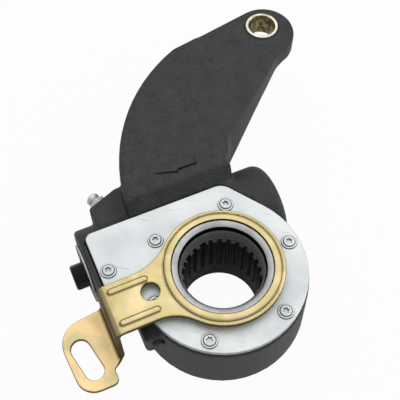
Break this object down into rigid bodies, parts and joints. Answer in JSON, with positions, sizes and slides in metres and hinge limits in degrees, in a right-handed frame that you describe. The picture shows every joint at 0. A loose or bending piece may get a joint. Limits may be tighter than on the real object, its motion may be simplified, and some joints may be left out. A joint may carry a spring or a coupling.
{
  "type": "brake slack adjuster",
  "caption": "Automatic slack adjuster with a curved lever, splined worm wheel, worm with hexagon end, rack drive and slotted control arm",
  "frame": {"origin": "On the axis of the splined bore, in the cover plate's top plane", "axes": "+Z along the splined bore, out of the side with the control arm; +Y along the lever to the clevis pin bush; +X to the right of the lever"},
  "size_m": [0.1191, 0.2252, 0.0518],
  "materials": {
    "casting": "fine-grained dark grey phosphated cast iron",
    "zinc": "pale blue zinc plating, satin",
    "yellow_zinc": "yellow passivated zinc with a faint iridescence",
    "steel": "turned steel",
    "dark_steel": "black phosphated steel, oiled",
    "spring": "drawn spring steel",
    "rubber": "matt black",
    "gasket": "matt fibre gasket",
    "bronze": "plain bearing bronze"
  },
  "bodies": {
    "housing": {"body_casting": "casting", "arm_bush": "bronze", "cover_plate": "zinc", "cover_gasket": "gasket", "rack_spring": "spring", "rack_plug": "dark_steel", "ring_seal": "rubber", "worm_cap": "dark_steel", "worm_seal": "rubber", "thrust_race_inner": "steel", "thrust_race_outer": "steel", "ball_cage": "bronze", "spring_cup": "steel", "strong_spring": "spring", "spring_cap": "dark_steel", "rear_seal": "rubber", "grease_nipple": "zinc", "cover_screw_1": "zinc", "cover_screw_2": "zinc", "cover_screw_3": "zinc", "cover_screw_4": "zinc", "cover_screw_5": "zinc", "cover_screw_6": "zinc", "cover_screw_7": "zinc", "thrust_ball_1": "steel", "thrust_ball_2": "steel", "thrust_ball_3": "steel", "thrust_ball_4": "steel", "thrust_ball_5": "steel", "thrust_ball_6": "steel", "thrust_ball_7": "steel", "thrust_ball_8": "steel"},
    "control": {"control_ring": "steel", "control_arm": "yellow_zinc"},
    "wheel": {"worm_wheel": "dark_steel"},
    "worm": {"worm_shaft": "dark_steel", "clutch_ring": "steel"},
    "pinion": {"pinion": "steel", "one_way_spring": "spring"},
    "rack": {"rack": "steel"}
  },
  "joints": [
    {"name": "control_turn", "type": "hinge", "parent": "housing", "child": "control", "pos_m": [0, 0, 0], "axis": [0, 0, 1], "range_deg": [0, 15]},
    {"name": "rack_slide", "type": "slide", "parent": "housing", "child": "rack", "axis": [0.5446, -0.8387, 0], "range_m": [0, 0.0096]},
    {"name": "pinion_spin", "type": "hinge", "parent": "housing", "child": "pinion", "pos_m": [-0.01852, 0.02851, -0.022], "axis": [0.8387, 0.5446, 0], "range_deg": [0, 57.7]},
    {"name": "worm_spin", "type": "hinge", "parent": "housing", "child": "worm", "pos_m": [-0.01852, 0.02851, -0.022], "axis": [0.8387, 0.5446, 0], "continuous": true},
    {"name": "wheel_spin", "type": "hinge", "parent": "housing", "child": "wheel", "pos_m": [0, 0, -0.022], "axis": [0, 0, 1], "continuous": true}
  ],
  "couplings": [
    {"joint": "rack_slide", "follows": "control_turn", "m_per_rad": 0.0365},
    {"joint": "pinion_spin", "follows": "control_turn", "ratio": 3.8421},
    {"joint": "wheel_spin", "follows": "worm_spin", "ratio": 0.041667}
  ]
}
